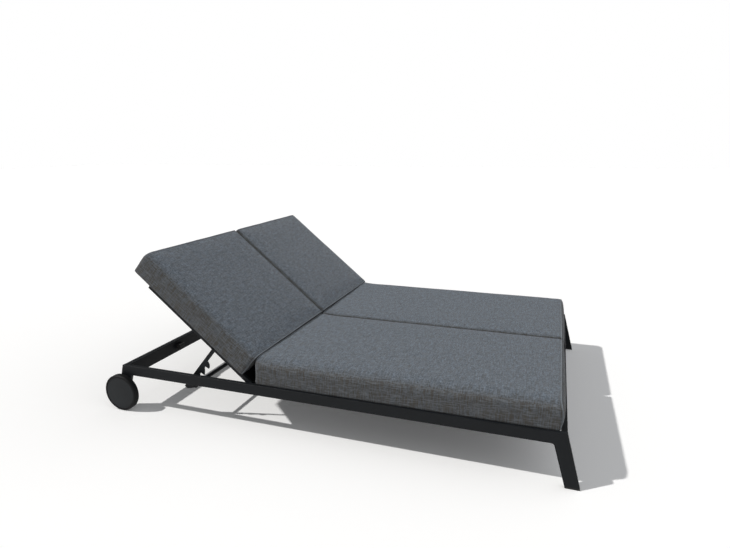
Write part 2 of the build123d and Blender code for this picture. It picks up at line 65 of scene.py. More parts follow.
Socket = bpy.types.NodeSocket
Node = bpy.types.Node
NodeTree = bpy.types.NodeTree
Material = bpy.types.Material
Piece = bpy.types.Object
Triple = tuple[float, float, float]
Reach = tuple[float, float]

BACK_ANGLE: float = math.radians(39.2)
BACK_ALONG: Vector = Vector((0.0, math.cos(BACK_ANGLE), math.sin(BACK_ANGLE)))
BACK_UP: Vector = Vector((0.0, -math.sin(BACK_ANGLE), math.cos(BACK_ANGLE)))
HINGE: Vector = Vector((0.0, 0.298, 0.2075))
NODE_SPACING: float = 180.0


class Side(Enum):
    """The two halves of the lounger."""

    LEFT = -1
    RIGHT = 1

    @property
    def word(self) -> str:
        """Name of the side, as the nodes use it."""
        return self.name.lower()


class CushionKind(Enum):
    """The two kinds of cushion."""

    SEAT = "seat"
    BACK = "back"

    def body(self, side: Side) -> str:
        """Name of the body that carries a cushion of this kind."""
        return "base" if self is CushionKind.SEAT else "back_cushion_" + side.word


# Shader wiring


@dataclass
class Wiring:
    """Adds and links shader nodes in one node tree.

    Attributes:
        tree: The node tree.
        column: Number of nodes placed so far.
    """

    tree: NodeTree
    column: int = 0

    def add(self, kind: str, **values: object) -> Node:
        """Add a node and set its properties.

        Args:
            kind: Blender's node type.
            values: Node properties by name.

        Returns:
            The new node.
        """
        node = self.tree.nodes.new(kind)
        node.location = (self.column * NODE_SPACING, 0.0)
        self.column += 1
        for name, value in values.items():
            setattr(node, name, value)
        return node

    def link(self, source: Socket, target: Socket) -> None:
        """Join an output to an input."""
        self.tree.links.new(source, target)

    def give(self, target: Socket, value: object) -> None:
        """Give an input another node's output, or a value of its own.

        Args:
            target: The input.
            value: A socket or a plain value.
        """
        if isinstance(value, Socket):
            self.link(value, target)
        else:
            target.default_value = value

    def feed(self, node: Node, **values: object) -> Node:
        """Give several inputs of a node their sources or values.

        Args:
            node: The node.
            values: A socket or a value for each input, with its spaces as underscores.

        Returns:
            The node.
        """
        for label, value in values.items():
            self.give(node.inputs[label.replace("_", " ")], value)
        return node

    def made(self, kind: str, output: str, properties: dict[str, object], **values: object) -> Socket:
        """Add a node, feed it and give back one of its outputs."""
        return self.feed(self.add(kind, **properties), **values).outputs[output]

    def math(self, operation: str, *values: object) -> Socket:
        """Add a Math node.

        Args:
            operation: The operation's name.
            values: A socket or a number for each input that the operation has.

        Returns:
            The node's output.
        """
        node = self.add("ShaderNodeMath", operation=operation)
        for slot, value in enumerate(values):
            self.give(node.inputs[slot], value)
        return node.outputs[0]

    def noise(self, vector: Socket, scale: object, detail: float) -> Socket:
        """Add noise with so many cells for each metre and so many finer layers."""
        return self.made("ShaderNodeTexNoise", "Fac", {}, Vector=vector, Scale=scale, Detail=detail)

    def threads(self, vector: Socket, direction: str, scale: float) -> Socket:
        """Add the ridges of threads that follow one another along X or Y."""
        bands = {"wave_type": "BANDS", "bands_direction": direction, "wave_profile": "SIN"}
        return self.made("ShaderNodeTexWave", "Fac", bands, Vector=vector, Scale=scale, Distortion=0.6)

    def stretch(self, vector: Socket, scale: Triple) -> Socket:
        """Scale a coordinate by a different number each way."""
        return self.made("ShaderNodeMapping", "Vector", {}, Vector=vector, Scale=scale)

    def bump(self, height: Socket, strength: float, distance: float) -> Socket:
        """Turn a height into a normal: how much of it shows, and how many metres one of it is."""
        return self.made("ShaderNodeBump", "Normal", {}, Height=height, Strength=strength, Distance=distance)

    def blend(self, share: Socket, first: object, second: object) -> Socket:
        """Mix two colours.

        Args:
            share: Share of the second colour.
            first: A socket or a colour.
            second: A socket or a colour.

        Returns:
            The mixed colour.
        """
        node = self.add("ShaderNodeMix", data_type="RGBA")
        self.link(share, node.inputs[0])
        for slot, value in ((6, first), (7, second)):
            self.give(node.inputs[slot], value if isinstance(value, Socket) else (*value, 1.0))
        return node.outputs[2]

    def cover(self, surface: Socket) -> None:
        """Give the material its surface."""
        self.feed(self.add("ShaderNodeOutputMaterial"), Surface=surface)

    def spread(self, value: Socket, given: Reach, wanted: Reach = (0.0, 1.0)) -> Socket:
        """Map a range of values onto another, smoothly."""
        ends = dict(zip(("From_Min", "From_Max", "To_Min", "To_Max"), (*given, *wanted)))
        return self.made("ShaderNodeMapRange", "Result", {"interpolation_type": "SMOOTHSTEP"},
                         Value=value, **ends)


def start_group(name: str, numbers: dict[str, float], outputs: tuple[str, ...]) -> tuple[Wiring, Node, Node]:
    """Start a shader node group that reads a coordinate and puts out numbers.

    Args:
        name: The group's name.
        numbers: Default value of each input beside the coordinate.
        outputs: Name of each output.

    Returns:
        The group's wiring, its input node and its output node.
    """
    tree = bpy.data.node_groups.new(name, "ShaderNodeTree")
    tree.interface.new_socket("Vector", in_out="INPUT", socket_type="NodeSocketVector")
    for label, value in numbers.items():
        socket = tree.interface.new_socket(label, in_out="INPUT", socket_type="NodeSocketFloat")
        socket.default_value = value
    for label in outputs:
        tree.interface.new_socket(label, in_out="OUTPUT", socket_type="NodeSocketFloat")
    wiring = Wiring(tree)
    return wiring, wiring.add("NodeGroupInput"), wiring.add("NodeGroupOutput")


class SharedEffects:
    """Node groups that the finishes use, each built once."""

    @staticmethod
    def grain() -> NodeTree:
        """Build fine surface grain: a height, and a slow tone that varies over the piece.

        Returns:
            The group.
        """
        wiring, given, result = start_group("surface_grain", {"Fine Scale": 900.0, "Slow Scale": 9.0},
                                            ("Height", "Tone"))
        for output, scale, detail in (("Height", "Fine Scale", 2.0), ("Tone", "Slow Scale", 3.0)):
            noise = wiring.noise(given.outputs["Vector"], given.outputs[scale], detail)
            wiring.link(noise, result.inputs[output])
        return wiring.tree

    @staticmethod
    def dust() -> NodeTree:
        """Build outdoor dust: a mask that gathers on faces that look up and in soft patches.

        Returns:
            The group.
        """
        wiring, given, result = start_group("outdoor_dust", {"Amount": 0.1}, ("Mask",))
        split = wiring.add("ShaderNodeSeparateXYZ")
        wiring.link(wiring.add("ShaderNodeNewGeometry").outputs["Normal"], split.inputs[0])
        upward = wiring.spread(split.outputs["Z"], (0.2, 1.0))
        patches = wiring.spread(wiring.noise(given.outputs["Vector"], 14.0, 4.0), (0.35, 0.75))
        lying = wiring.math("MULTIPLY", upward, patches)
        wiring.link(wiring.math("MULTIPLY", lying, given.outputs["Amount"]), result.inputs["Mask"])
        return wiring.tree

    @staticmethod
    def weave() -> NodeTree:
        """Build woven yarn on a cover's own map: a height and masks for the kinds of yarn.

        Returns:
            The group.
        """
        cells = {"Slub": (225.0, 20.0, 2.0), "Cross": (22.0, 210.0, 2.0),
                 "Heather": (155.0, 130.0, 3.0), "Mottle": (62.0, 34.0, 3.0)}
        wiring, given, result = start_group("yarn_weave", {}, ("Height", *cells))
        vector = given.outputs["Vector"]
        warp, weft = wiring.threads(vector, "X", 190.0), wiring.threads(vector, "Y", 150.0)
        wiring.link(wiring.math("MULTIPLY", warp, weft), result.inputs["Height"])
        for label, (along, across, detail) in cells.items():
            noise = wiring.noise(wiring.stretch(vector, (along, across, 1.0)), 1.0, detail)
            wiring.link(noise, result.inputs[label])
        return wiring.tree


def place_group(wiring: Wiring, name: str, build: Callable[[], NodeTree], **values: object) -> Node:
    """Put a shared group in a material.

    Args:
        wiring: The material's wiring.
        name: The group's name.
        build: Makes the group the first time.
        values: A socket or a number for each input, with its spaces as underscores.

    Returns:
        The group's node.
    """
    node = wiring.add("ShaderNodeGroup")
    node.node_tree = bpy.data.node_groups.get(name) or build()
    return wiring.feed(node, **values)


def start_material(name: str) -> tuple[Material, Wiring]:
    """Start a node material without nodes.

    Args:
        name: The material's name.

    Returns:
        The material and its wiring.
    """
    material = bpy.data.materials.new(name)
    material.use_nodes = True
    material.node_tree.nodes.clear()
    return material, Wiring(material.node_tree)


# Finishes


@dataclass(frozen=True)
class CoatedSurface:
    """A painted, moulded or rubber surface with grain, a slow change of tone and dust.

    Attributes:
        name, colour, roughness, metallic, shine: The surface itself.
        worn, dust: Brightness of dust, and its share on faces that look up.
        grain_scale, grain_depth: Grain cells for each metre, and their height in metres.
        shades: Shares of the colour where the tone is darkest and lightest.
        tones: Range of the slow tone that makes the full change.
        smoother, rougher: How far the roughness changes with it.
        dust_roughness: Roughness that dust adds.
        relief: Share of the grain's height that shows.
    """

    name: str
    colour: Triple
    worn: float
    roughness: float
    grain_scale: float
    grain_depth: float
    dust: float = 0.08
    metallic: float = 0.0
    shine: float = 0.5
    shades: Reach = (0.86, 1.12)
    tones: Reach = (0.3, 0.7)
    smoother: float = 0.04
    rougher: float = 0.05
    dust_roughness: float = 0.4
    relief: float = 0.5

    def material(self) -> Material:
        """Build the finish's material.

        Returns:
            The material.
        """
        material, wiring = start_material(self.name)
        coordinates = wiring.add("ShaderNodeTexCoord").outputs["Object"]
        grain = place_group(wiring, "surface_grain", SharedEffects.grain, Vector=coordinates,
                            Fine_Scale=self.grain_scale)
        dust = place_group(wiring, "outdoor_dust", SharedEffects.dust, Vector=coordinates, Amount=self.dust)
        lying, slow = dust.outputs["Mask"], grain.outputs["Tone"]
        darker, lighter = (tuple(channel * shade for channel in self.colour) for shade in self.shades)
        tone = wiring.blend(wiring.spread(slow, self.tones), darker, lighter)
        rough = wiring.spread(slow, self.tones, (self.roughness - self.smoother, self.roughness + self.rougher))
        rough = wiring.math("ADD", rough, wiring.math("MULTIPLY", lying, self.dust_roughness))
        wiring.cover(wiring.made("ShaderNodeBsdfPrincipled", "BSDF", {},
                                 Base_Color=wiring.blend(lying, tone, (self.worn,) * 3), Roughness=rough,
                                 Metallic=self.metallic, Specular_IOR_Level=self.shine,
                                 Normal=wiring.bump(grain.outputs["Height"], self.relief, self.grain_depth)))
        return material


@dataclass(frozen=True)
class HeatherWeave:
    """Outdoor fabric woven from mixed yarns.

    Attributes:
        name, roughness, sheen, sheen_roughness, shine: The surface itself.
        cool, dark, warm, pale: Colours of the yarns. The third is also painted as shade on faces that don't
            look up, and the fourth as a highlight on the welts.
        heather_range, slub_range, cross_range, mottle_range: Range of each mask.
        mottle_sway: How far the mottle shifts the mix of dark and cool yarn.
        slub_warmth, side_painted_shade: Share of the warmer yarn in a slub, and of its darker colour painted as
            shade on the sides.
        fleck_share, cord_paleness: Share of paler fibre in a crossing thread, and of the paler colour painted
            on a welt as the highlight along it.
        relief, thread_height: Share of the threads' height that shows, and that height in metres.
        slub_height: Height that a slub adds, as a share of it.
    """

    name: str
    cool: Triple
    dark: Triple
    warm: Triple
    pale: Triple
    heather_range: Reach = (0.30, 0.70)
    slub_range: Reach = (0.40, 0.66)
    cross_range: Reach = (0.45, 0.64)
    mottle_range: Reach = (0.32, 0.68)
    mottle_sway: float = 0.22
    slub_warmth: float = 0.50
    side_painted_shade: float = 0.56
    fleck_share: float = 0.23
    cord_paleness: float = 0.45
    roughness: float = 0.92
    sheen: float = 0.18
    sheen_roughness: float = 0.45
    shine: float = 0.25
    relief: float = 0.6
    thread_height: float = 0.0006
    slub_height: float = 0.6

    def material(self) -> Material:
        """Build the weave's material.

        Returns:
            The material.
        """
        material, wiring = start_material(self.name)
        cover_map = wiring.add("ShaderNodeUVMap", uv_map="cover").outputs["UV"]
        weave = place_group(wiring, "yarn_weave", SharedEffects.weave, Vector=cover_map)
        side_shade_mask, welt_highlight = (wiring.add("ShaderNodeAttribute", attribute_name=name).outputs["Fac"]
                      for name in ("side_share", "welt_highlight_share"))
        heather, slub, cross = (wiring.spread(weave.outputs[label], reach) for label, reach in (
            ("Heather", self.heather_range), ("Slub", self.slub_range), ("Cross", self.cross_range)))
        sway = (-self.mottle_sway, self.mottle_sway)
        mottle = wiring.spread(weave.outputs["Mottle"], self.mottle_range, sway)
        yarn = wiring.blend(wiring.math("ADD", heather, mottle), self.dark, self.cool)
        # Painted shade: faces that don't look up get the darker, warmer yarn colour, standing for the shade on
        # the sides.
        painted_side_shade = wiring.math("MULTIPLY", side_shade_mask, self.side_painted_shade)
        warmed_and_side_shaded = wiring.blend(wiring.math("MULTIPLY_ADD", slub, self.slub_warmth, painted_side_shade), yarn, self.warm)
        flecked = wiring.blend(wiring.math("MULTIPLY", cross, self.fleck_share), warmed_and_side_shaded, self.pale)
        # Painted highlight: the welts are painted paler, standing for the light they catch.
        welt_highlighted = wiring.blend(wiring.math("MULTIPLY", welt_highlight, self.cord_paleness), flecked, self.pale)
        raised = wiring.math("ADD", weave.outputs["Height"], wiring.math("MULTIPLY", slub, self.slub_height))
        wiring.cover(wiring.made("ShaderNodeBsdfPrincipled", "BSDF", {}, Base_Color=welt_highlighted,
                                 Roughness=self.roughness, Sheen_Weight=self.sheen,
                                 Sheen_Roughness=self.sheen_roughness, Specular_IOR_Level=self.shine,
                                 Normal=wiring.bump(raised, self.relief, self.thread_height)))
        return material


@dataclass(frozen=True)
class PaleFloor:
    """A plain floor that is white to the camera and keeps the lounger's shadow.

    Attributes:
        name: The finish's name.
        bounce: How much light it gives back to the lounger.
        lift: Brightness that it has of its own to the camera.
    """

    name: str
    bounce: float = 0.60
    lift: float = 0.075

    def material(self) -> Material:
        """Build the floor's material.

        Returns:
            The material.
        """
        material, wiring = start_material(self.name)
        path = wiring.add("ShaderNodeLightPath").outputs
        seen = wiring.math("MAXIMUM", path["Is Camera Ray"], path["Is Transmission Ray"])
        seen = wiring.math("MAXIMUM", seen, path["Is Glossy Ray"])
        colour = wiring.blend(seen, (self.bounce,) * 3, (1.0, 1.0, 1.0))
        strength = wiring.math("MULTIPLY", seen, self.lift)
        both = wiring.add("ShaderNodeAddShader")
        wiring.link(wiring.made("ShaderNodeBsdfDiffuse", "BSDF", {}, Color=colour), both.inputs[0])
        wiring.link(wiring.made("ShaderNodeEmission", "Emission", {}, Strength=strength), both.inputs[1])
        wiring.cover(both.outputs["Shader"])
        return material


class Finishes:
    """All materials of the lounger, by the record's slot names."""

    def __init__(self) -> None:
        """Build every material once."""
        finishes = {
            "frame": CoatedSurface("powder_coat", (0.0105, 0.0120, 0.0140), 0.10, 0.46, 1400.0, 0.00018,
                                   0.05, shine=0.16),
            "cushion_fabric": HeatherWeave("heather_weave", (0.166, 0.202, 0.248), (0.071, 0.085, 0.101),
                                           (0.074, 0.068, 0.061), (0.26, 0.29, 0.32)),
            "tyre": CoatedSurface("tyre_black", (0.0075, 0.0078, 0.0085), 0.09, 0.60, 700.0, 0.0003,
                                  0.06, shine=0.18),
            "cap_plastic": CoatedSurface("cap_plastic", (0.0150, 0.0175, 0.0200), 0.10, 0.42, 1100.0, 0.0001,
                                         0.03, shine=0.2),
            "hub_plastic": CoatedSurface("hub_plastic", (0.018, 0.018, 0.020), 0.13, 0.5, 900.0, 0.0002),
            "rubber": CoatedSurface("rubber_black", (0.012, 0.012, 0.012), 0.12, 0.7, 600.0, 0.0003),
            "nylon": CoatedSurface("nylon_black", (0.022, 0.022, 0.023), 0.12, 0.45, 800.0, 0.0001),
            "fastener": CoatedSurface("steel_fastener", (0.48, 0.48, 0.49), 0.3, 0.32, 1600.0, 0.00008,
                                      0.04, 1.0),
            # Near-black hinge cloth: painted shade for the deep gap at the hinge.
            "hinge_shade_lining": CoatedSurface("hinge_shade_lining", (0.010, 0.010, 0.011), 0.03, 0.9, 1500.0, 0.0002,
                                         0.05, shine=0.1),
        }
        self.by_slot = {slot: finish.material() for slot, finish in finishes.items()}

    def dress(self, piece: Piece, slot: str) -> None:
        """Give a piece the material of a slot."""
        piece.data.materials.clear()
        piece.data.materials.append(self.by_slot[slot])


# Modelling helpers


def nothing_selected() -> None:
    """Deselect every object."""
    bpy.ops.object.select_all(action="DESELECT")


def make_active(piece: Piece) -> None:
    """Select one piece alone and make it the active one.

    Args:
        piece: The piece.
    """
    nothing_selected()
    piece.select_set(True)
    bpy.context.view_layer.objects.active = piece


def pick_edges(piece: Piece, wanted: Callable[[Vector, Vector], bool]) -> None:
    """Select a mesh's edges in edit mode.

    Args:
        piece: The mesh object, in edit mode.
        wanted: Given the two ends of an edge, whether to select it.
    """
    mesh = bmesh.from_edit_mesh(piece.data)
    bpy.ops.mesh.select_mode(type="EDGE")
    bpy.ops.mesh.select_all(action="DESELECT")
    for edge in mesh.edges:
        edge.select_set(wanted(edge.verts[0].co, edge.verts[1].co))
    bmesh.update_edit_mesh(piece.data)


def bevel(radius: float, segments: int) -> None:
    """Round the selected edges of the mesh that is being edited."""
    bpy.ops.mesh.bevel(offset=radius, segments=segments, profile=0.5, clamp_overlap=False)


def apply_modifier(piece: Piece, kind: str, **values: object) -> None:
    """Add a modifier to a piece and apply it.

    Args:
        piece: The mesh object.
        kind: Blender's modifier type.
        values: Modifier settings by name.
    """
    make_active(piece)
    modifier = piece.modifiers.new(kind.lower(), kind)
    for name, value in values.items():
        setattr(modifier, name, value)
    bpy.ops.object.modifier_apply(modifier=modifier.name)


def read(items: bpy.types.bpy_prop_collection, name: str, size: int = 1, kind: type = np.float32) -> np.ndarray:
    """Read one property of all of a mesh's points, corners or faces.

    Args:
        items: The points, corners or faces.
        name: The property's name.
        size: Number of values in it.
        kind: Type of the values.

    Returns:
        The values, in rows where there are several to an item.
    """
    values = np.empty(len(items) * size, kind)
    items.foreach_get(name, values)
    return values.reshape(-1, size).astype(float) if size > 1 else values


def positions(piece: Piece) -> np.ndarray:
    """Places of a mesh's points as rows."""
    return read(piece.data.vertices, "co", 3)


def move_to(piece: Piece, places: np.ndarray) -> None:
    """Write the places of a mesh's points."""
    piece.data.vertices.foreach_set("co", places.astype(np.float32).ravel())
    piece.data.update()


def note_share(piece: Piece, name: str, shares: np.ndarray) -> None:
    """Give each point of a mesh a number that its material reads."""
    made = piece.data.attributes.new(name, "FLOAT", "POINT")
    made.data.foreach_set("value", shares.astype(np.float32))


# Cushions


# Lengths are in metres
PICK_SLACK = 1e-5  # how far an edge may lie from where it is looked for
ROLL_REACH = 3.2  # how far in the outer roll pulls the cover, in widths of the roll
ROLL_CREST = 9.48  # makes that pull one where it is strongest
INNER_CORNER = 0.4  # radius of the upright inner corners, as a share of the outer ones'
PRESSURE = {"quality": 4, "mass": 0.35, "tension_stiffness": 22.0, "compression_stiffness": 22.0,
            "shear_stiffness": 12.0, "bending_stiffness": 3.0, "use_pressure": True,
            "uniform_pressure_force": 4.0}
FILL_FRAMES = 20
UNDERSIDE = 0.0008  # points this low are held while the cover fills
PUSH_GAIN, PUSH_FULL = 1.6, 90  # how soon the push is full, and the percentile that it is measured by
REST_FROM, REST_FADE = 0.3, 0.5  # how far a face looks to where it rests before it stays flat
SINK, WAVE, EDGE_WAVE = 0.0012, 0.0008, 0.35  # the top's waves, and the share of them at the sides
SQUEEZE = 0.120  # length of the squeezed far end
SEAT_HEIGHT, SEAT_DEPTH = 0.040, 0.050  # size of the outer bottom edge that is seated
SEAT_OUT, SEAT_DOWN, SEAT_LIMIT = 0.013, 0.005, 0.0005  # how far it goes out and down, and stops short
BELLY_RISE = 0.94  # where a domed end is fullest, as twice its share of the height
BELLY_SIDES, BELLY_DEPTH = 0.35, 0.060  # how much less it swells at the sides, and how far in it reaches
END_SHIFT, SIDE_SHIFT = 3.0, 5.0  # keep the weave of the panels apart on the map
SIDE_SHADE_FROM, SIDE_SHADE_FADE = 0.992, 0.26  # how far a face looks up before it counts as a side, where the cover is painted darker as shade
RAY_ACROSS, RAY_UP = 1.2, 1.6  # how far outside the cover a seam is looked for, in its half sizes
SEAM_POINTS, SEAM_LIFT = 200, 0.0003
WELT_RADIUS, WELT_SHARE = 0.0025, 0.55  # a welt lies at this share of its end's radius


def soft_wave(across: np.ndarray, along: np.ndarray) -> np.ndarray:
    """Find the height of the slow waves in a used cushion's top, between about 1.7 below and above zero."""
    long_wave = np.sin(along * 17.0 + 0.8 * np.sin(across * 11.0))
    return long_wave + 0.7 * np.sin(across * 23.0 + along * 6.0 + 1.3)


@dataclass
class CushionShape:
    """One cushion modelled flat, with its bottom on the floor of its own space and its start at zero.

    Its outer side looks along -X. Its inner side leans on the next cushion, so it stays flat.

    Attributes:
        name: What the cushion is called.
        width, length, thickness: Size across, along and up to the crown.
        shoulder, roll: Height and width of the roll between the top and the outer side.
        inner_round: Radius between the top and the inner side.
        start_round, last_round: Radius round the end panels.
        foot, corner: Radius of the long bottom edges and of the upright outer corners.
        swell: How far the filling pushes the cover out.
        start_dome, last_dome: How far the end panels swell out.
        lean: Where the far end leans on the next cushion: a height above the bottom, the distance along
            there, and the slope of that cushion's panel.
        seam_gap: How far the inner side stands back from the next cushion.
        loft, rear_loft: How much higher the outer side and the far end stand.
        voxel: Cell size of the cover's mesh.
    """

    name: str
    width: float
    length: float
    thickness: float
    shoulder: float = 0.031
    roll: float = 0.060
    inner_round: float = 0.012
    start_round: float = 0.010
    last_round: float = 0.010
    foot: float = 0.004
    corner: float = 0.011
    swell: float = 0.006
    start_dome: float = 0.0
    last_dome: float = 0.0
    lean: Triple | None = None
    seam_gap: float = 0.0060
    loft: float = 0.0
    rear_loft: float = 0.0
    voxel: float = 0.006

    def blank(self) -> Piece:
        """Model the unfilled cover: a block with each kind of edge bevelled by its own radius.

        Returns:
            The cover.
        """
        width, top = self.width - self.swell, self.thickness - self.swell
        bpy.ops.mesh.primitive_cube_add(size=1.0, location=(self.swell / 2, self.length / 2, top / 2))
        block = bpy.context.object
        block.name = self.name
        block.scale = (width, self.length, top)
        make_active(block)
        bpy.ops.object.transform_apply(location=True, rotation=True, scale=True)
        bpy.ops.object.mode_set(mode="EDIT")
        runs_along = self.length / 2
        for side, radius in ((-1, self.shoulder), (1, self.inner_round)):
            pick_edges(block, lambda a, b, s=side: min(a.z, b.z) > top - PICK_SLACK
                       and abs(a.y - b.y) > runs_along and min(a.x * s, b.x * s) > self.width / 4)
            bevel(radius, 8)
        for station, radius in ((0.0, self.start_round), (self.length, self.last_round)):
            if radius >= self.voxel:
                pick_edges(block, lambda a, b, at=station: max(abs(a.y - at), abs(b.y - at)) < PICK_SLACK)
                bevel(radius, 4)
        pick_edges(block, lambda a, b: max(a.z, b.z) < PICK_SLACK and abs(a.y - b.y) > runs_along)
        bevel(self.foot, 2)
        bpy.ops.object.mode_set(mode="OBJECT")
        apply_modifier(block, "REMESH", mode="VOXEL", voxel_size=self.voxel)
        self.round_corners(block)
        apply_modifier(block, "SMOOTH", factor=0.5, iterations=2)
        self.widen_roll(block)
        return block

    def round_corners(self, block: Piece) -> None:
        """Bring each upright corner's square onto a quarter of a disc, a small one at the inner side.

        Args:
            block: The unfilled cover.
        """
        place = positions(block)
        x, y, _ = place.T
        middle, centre, half = self.length / 2, self.swell / 2, (self.width - self.swell) / 2
        side, end = np.sign(x - centre), np.sign(y - middle)
        radius = np.where(side < 0, self.corner, self.corner * INNER_CORNER)
        inner_x, inner_y = half - radius, middle - radius
        past_x = np.clip((np.abs(x - centre) - inner_x) / radius, 0.0, 1.0)
        past_y = np.clip((np.abs(y - middle) - inner_y) / radius, 0.0, 1.0)
        both = (past_x > 0) & (past_y > 0)
        round_x, round_y = past_x * np.sqrt(1.0 - past_y ** 2 / 2), past_y * np.sqrt(1.0 - past_x ** 2 / 2)
        x[:] = np.where(both, centre + side * (inner_x + round_x * radius), x)
        y[:] = np.where(both, middle + end * (inner_y + round_y * radius), y)
        move_to(block, place)

    def widen_roll(self, block: Piece) -> None:
        """Stretch the outer roll across, so that it is wider than it is high.

        Args:
            block: The unfilled cover.
        """
        place = positions(block)
        x = place[:, 0]
        depth = np.clip((x - x.min()) / (ROLL_REACH * self.roll), 0.0, 1.0)
        x += (self.roll - self.shoulder) * ROLL_CREST * depth * (1.0 - depth) ** 3
        move_to(block, place)

    def outward(self, cover: Piece) -> tuple[np.ndarray, np.ndarray]:
        """Find which way the filling may push each point of the cover, and how freely.

        Args:
            cover: The unfilled cover.

        Returns:
            The points' normals as rows, and a share that is zero where the cushion rests or leans.
        """
        normals = read(cover.data.vertices, "normal", 3)
        free = np.ones(len(normals))
        for leaning in (-normals[:, 2], normals[:, 0], np.abs(normals[:, 1])):
            free *= 1.0 - np.clip((leaning - REST_FROM) / REST_FADE, 0.0, 1.0)
        return normals, free

    def fill(self, cover: Piece) -> np.ndarray:
        """Blow the cover up with cloth pressure, as its filling does, while its underside stays flat.

        Args:
            cover: The unfilled cover, which is left in its blown-up shape.

        Returns:
            How far each point moved, as rows.
        """
        before = positions(cover)
        make_active(cover)
        underside = cover.vertex_groups.new(name="underside")
        underside.add(np.flatnonzero(before[:, 2] < before[:, 2].min() + UNDERSIDE).tolist(), 1.0, "REPLACE")
        cloth = cover.modifiers.new("filling", "CLOTH")
        cloth.settings.vertex_group_mass = underside.name
        for name, value in PRESSURE.items():
            setattr(cloth.settings, name, value)
        cloth.settings.effector_weights.gravity = 0.0
        cloth.collision_settings.use_collision = False
        cloth.point_cache.frame_start = 1
        cloth.point_cache.frame_end = FILL_FRAMES
        for step in range(1, FILL_FRAMES + 1):
            bpy.context.scene.frame_set(step)
        bpy.ops.object.modifier_apply(modifier=cloth.name)
        bpy.context.scene.frame_set(1)
        return positions(cover) - before

    def swell_out(self, cover: Piece) -> None:
        """Push the cover out as its filling does: most in the middle of each panel, and never inward.

        Args:
            cover: The unfilled cover.
        """
        before = positions(cover)
        normals, free = self.outward(cover)
        push = np.clip(np.einsum("ij,ij->i", self.fill(cover), normals), 0.0, None)
        log.info("%s: filling moves %.1f mm at most", self.name, push.max() * 1000)
        push = np.tanh(PUSH_GAIN * push / max(np.percentile(push, PUSH_FULL), 1e-6))
        move_to(cover, before + normals * (push * free * self.swell)[:, None])
        apply_modifier(cover, "SMOOTH", factor=0.4, iterations=2)

    def fit(self, cover: Piece) -> None:
        """Bring the filled cover to its own size, soften it with slow waves and seat its outer bottom edge.

        Args:
            cover: The filled cover.
        """
        place = positions(cover)
        low, high = place.min(axis=0), place.max(axis=0)
        room_low = np.array([-self.width / 2, 0.0, 0.0])
        room_high = np.array([self.width / 2 - self.seam_gap, self.length, self.thickness])
        place = room_low + (place - low) / (high - low) * (room_high - room_low)
        x, y, z = place.T
        inside = np.clip(1 - (2 * x / self.width) ** 2, 0, 1)
        upper = np.clip(z / self.thickness, 0, 1) ** 2
        z -= upper * (SINK + WAVE * soft_wave(x, y)) * (EDGE_WAVE + (1 - EDGE_WAVE) * inside)
        squeezed = np.clip(1.0 - (self.length - y) / SQUEEZE, 0.0, 1.0) ** 2
        z *= 1.0 + (self.loft * (0.5 - x / self.width) + self.rear_loft * squeezed) / self.thickness
        low_down = np.clip(1.0 - z / SEAT_HEIGHT, 0.0, 1.0) ** 1.5
        seated = low_down * np.clip(1.0 - (x + self.width / 2) / SEAT_DEPTH, 0.0, 1.0)
        x[:] = np.maximum(x - SEAT_OUT * seated, -self.width / 2 + SEAT_LIMIT)
        z[:] = np.maximum(z - SEAT_DOWN * seated, 0.0)
        move_to(cover, place)

    def dome(self, piece: Piece) -> None:
        """Swell the end panels out, most at half their height, and let the far end lean on its neighbour.

        Args:
            piece: The cover or a welt on it.
        """
        place = positions(piece)
        x, y, z = place.T
        belly = 1.0 - np.clip(2.0 * z / self.thickness - BELLY_RISE, -1.0, 1.0) ** 2
        across = 1.0 - BELLY_SIDES * np.clip(np.abs(2.0 * x / self.width), 0.0, 1.0) ** 4
        for station, amount in ((0.0, -self.start_dome), (self.length, self.last_dome)):
            y += amount * belly * across * np.clip(1.0 - np.abs(y - station) / BELLY_DEPTH, 0.0, 1.0) ** 2
        if self.lean:
            height, run, slope = self.lean
            past = np.maximum(y - run + (z - height) * slope, 0.0)
            y -= np.where(y > self.length / 2, past, 0.0)
        move_to(piece, place)

    def map_cover(self, cover: Piece) -> None:
        """Lay the weave on each panel, with the warp running across the top and down the sides.

        Args:
            cover: The cover or a welt on it.
        """
        mesh = cover.data
        facing = np.abs(read(mesh.polygons, "normal", 3))
        flat = facing[:, 2] >= np.maximum(facing[:, 0], facing[:, 1])
        end = ~flat & (facing[:, 0] < facing[:, 1])
        corners = read(mesh.polygons, "loop_total", kind=np.int32)
        x, y, z = positions(cover)[read(mesh.loops, "vertex_index", kind=np.int32)].T
        along = np.where(np.repeat(end, corners), x + END_SHIFT, y)
        across = np.where(np.repeat(flat, corners), x, z + SIDE_SHIFT)
        layer = mesh.uv_layers.new(name="cover")
        layer.data.foreach_set("uv", np.stack([along, across], 1).astype(np.float32).ravel())
        # Painted shade: a share that grows as a face looks less up, which the material paints darker as shade.
        upward = np.clip(read(mesh.vertices, "normal", 3)[:, 2], 0.0, 1.0)
        note_share(cover, "side_share", np.clip((SIDE_SHADE_FROM - upward) / SIDE_SHADE_FADE, 0.0, 1.0))

    def seam_path(self, tree: BVHTree, station: float) -> list[Vector]:
        """Follow the cover round one end.

        Args:
            tree: The cover's faces.
            station: Where the seam lies along the cushion.

        Returns:
            The points of a closed seam on the cover.
        """
        half, high = self.width / 2, self.thickness / 2
        turns = np.cumsum((0.0, 2 * half, 2 * high, 2 * half, 2 * high))
        points = []
        for step in range(SEAM_POINTS):
            run = (step + 0.5) / SEAM_POINTS * turns[-1]
            aim_x = np.interp(run, turns, (-half, half, half, -half, -half))
            aim_z = np.interp(run, turns, (high, high, -high, -high, high))
            inner = Vector((max(high - half, min(half - high, aim_x)), station, high))
            start = Vector((aim_x * RAY_ACROSS, station, high + aim_z * RAY_UP))
            found, normal, _, _ = tree.ray_cast(start, (inner - start).normalized())
            if found is not None:
                points.append(found + normal * SEAM_LIFT)
        return points

